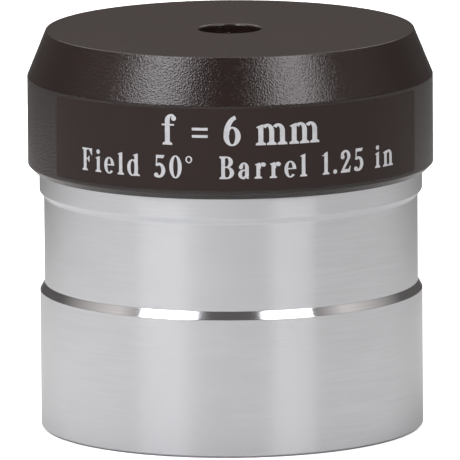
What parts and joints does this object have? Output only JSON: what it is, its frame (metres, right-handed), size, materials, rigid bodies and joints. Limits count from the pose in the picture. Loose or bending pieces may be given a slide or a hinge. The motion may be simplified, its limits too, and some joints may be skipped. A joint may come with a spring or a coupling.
{
  "type": "telescope eyepiece",
  "caption": "Slim-barrel telescope eyepiece with a screw-on black cap, a small flat eye hole, a turned metal barrel with a safety groove, and a filter thread inside its rim.",
  "frame": {"origin": "on the optical axis, in the plane of the barrel's open rim, which the eyepiece stands on", "axes": "+Z along the optical axis, out of the eye hole; the data label is centred on -Y"},
  "size_m": [0.0336, 0.0337, 0.0332],
  "materials": {
    "turned_aluminium": "fine turned, satin",
    "black_cap": "fine-grained satin black",
    "label_film": "smooth satin film",
    "label_print": "flat pale ink",
    "black_inner_metal": "matt black",
    "coated_glass": "polished, anti-reflection coated"
  },
  "bodies": {
    "barrel": {"nose_barrel": "turned_aluminium"},
    "optics": {"lens_cell": "black_inner_metal", "eye_lens_flint": "coated_glass", "eye_lens_crown": "coated_glass", "lens_spacer": "black_inner_metal", "field_lens": "coated_glass", "field_stop": "black_inner_metal", "retaining_ring": "black_inner_metal"},
    "cap": {"eye_cap": "black_cap", "data_label": "label_film"}
  },
  "joints": [
    {"name": "cap_lift", "type": "slide", "parent": "barrel", "child": "optics", "axis": [0, 0, 1], "range_m": [0, 0.0045]},
    {"name": "cap_turn", "type": "hinge", "parent": "optics", "child": "cap", "pos_m": [0, 0, 0.0216], "axis": [0, 0, 1], "range_deg": [0, 2160]}
  ],
  "couplings": [
    {"joint": "cap_lift", "follows": "cap_turn", "m_per_rad": 0.00011937}
  ]
}
